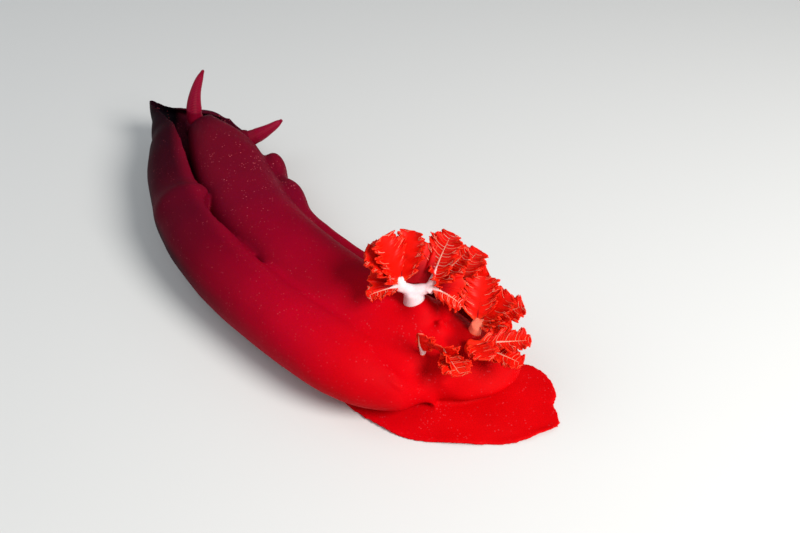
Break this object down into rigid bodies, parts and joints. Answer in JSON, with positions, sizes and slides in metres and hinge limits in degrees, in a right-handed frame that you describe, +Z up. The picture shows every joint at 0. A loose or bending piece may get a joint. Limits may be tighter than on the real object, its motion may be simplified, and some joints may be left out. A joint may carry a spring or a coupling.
{
  "type": "spanish dancer nudibranch",
  "caption": "Large red sea slug crawling in a curve, mantle margin rolled over its back, rhinophores raised and a ring of branched gills open.",
  "frame": {"origin": "on the sole, under the middle of the body", "axes": "+Y towards the head, along the chord of the bent body; +Z up, away from the sea floor; +X to the animal's right"},
  "size_m": [0.1225, 0.3409, 0.0764],
  "materials": {
    "flesh": "smooth wet skin, deep crimson",
    "foot_flesh": "smooth wet skin, bright red",
    "gill_tissue": "wet, orange-red with pale veins",
    "rhinophore_flesh": "wet, purplish red with fine folds"
  },
  "bodies": {
    "root": {"notum_rear": "flesh", "notum_middle": "flesh", "notum_front": "flesh", "neck": "flesh", "head": "flesh", "oral_tentacle_left": "flesh", "oral_tentacle_right": "flesh", "foot_tail": "foot_flesh", "foot_middle": "foot_flesh", "foot_front": "foot_flesh", "mantle_left_rear": "flesh", "mantle_left_middle": "flesh", "mantle_left_front": "flesh", "mantle_front": "flesh", "mantle_right_front": "flesh", "mantle_right_middle": "flesh", "mantle_right_rear": "flesh", "mantle_tail": "flesh", "rhinophore_left": "rhinophore_flesh", "rhinophore_right": "rhinophore_flesh", "rhinophore_sheath_left": "flesh", "rhinophore_sheath_right": "flesh", "gill_1": "gill_tissue", "gill_2": "gill_tissue", "gill_3": "gill_tissue", "gill_4": "gill_tissue", "gill_5": "gill_tissue", "gill_6": "gill_tissue", "anal_papilla": "flesh"}
  },
  "joints": []
}
